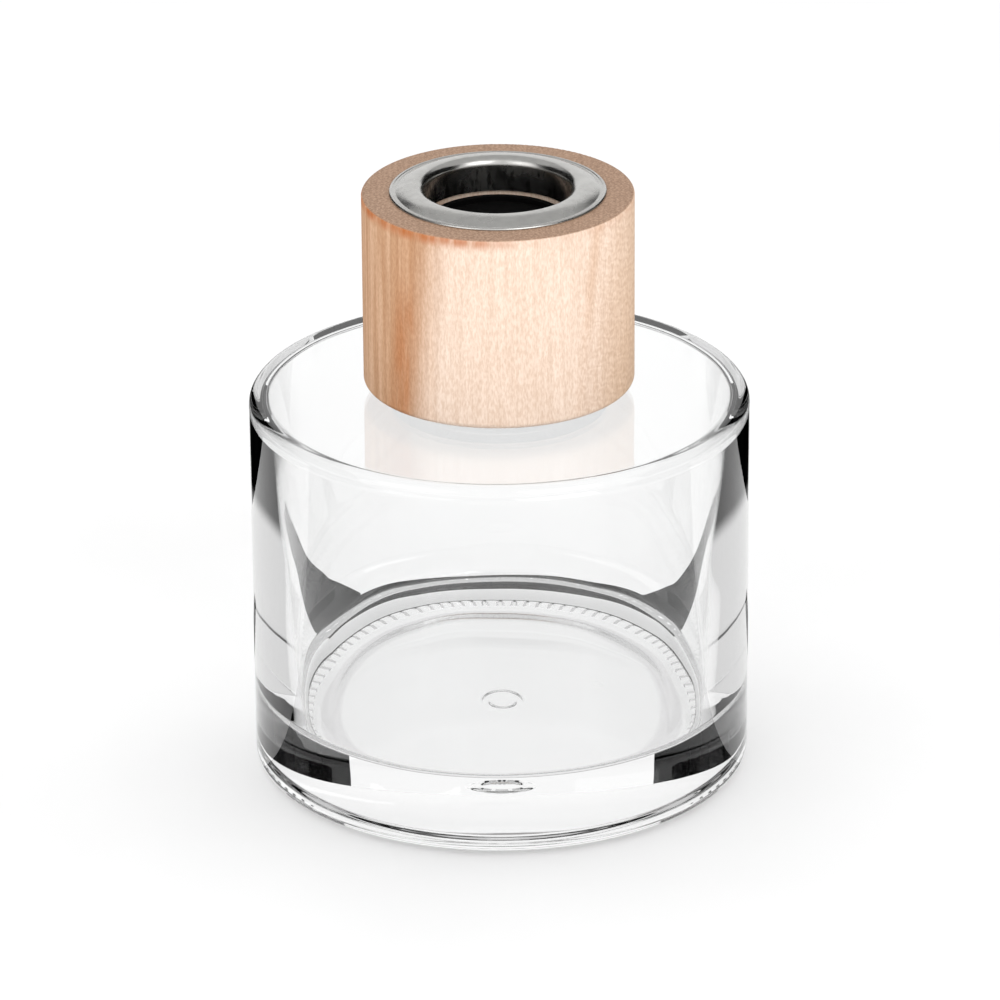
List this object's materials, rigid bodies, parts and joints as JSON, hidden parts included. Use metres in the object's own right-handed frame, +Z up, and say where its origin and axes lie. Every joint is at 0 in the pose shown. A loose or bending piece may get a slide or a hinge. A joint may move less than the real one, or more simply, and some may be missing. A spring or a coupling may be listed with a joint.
{
  "type": "reed diffuser bottle",
  "caption": "Round clear glass reed diffuser bottle with a heavy base, a turned wood screw collar with a metal ring around its opening, and a neck stopper.",
  "frame": {"origin": "centre of the bottle's base, on the surface it stands on", "axes": "+Z up along the bottle's axis; the bottle is round, so +X and +Y are any two directions across it"},
  "size_m": [0.07, 0.07, 0.0863],
  "materials": {
    "glass": "clear, polished",
    "wood": "turned, matt",
    "liner": "moulded",
    "ring": "satin",
    "plug": "moulded"
  },
  "bodies": {
    "bottle": {"glass_bottle": "glass"},
    "ring": {"metal_ring": "ring"},
    "collar": {"wood_collar": "wood", "thread_liner": "liner"},
    "plug": {"neck_plug": "plug"}
  },
  "joints": [
    {"name": "collar_lift", "type": "slide", "parent": "bottle", "child": "ring", "axis": [0, 0, 1], "range_m": [0, 0.01906]},
    {"name": "collar_turn", "type": "hinge", "parent": "ring", "child": "collar", "pos_m": [0, 0, 0.07], "axis": [0, 0, 1], "range_deg": [0, 1620]},
    {"name": "plug_pull", "type": "slide", "parent": "bottle", "child": "plug", "axis": [0, 0, 1], "range_m": [0, 0.026]}
  ],
  "couplings": [
    {"joint": "collar_lift", "follows": "collar_turn", "m_per_rad": 0.00067376}
  ]
}
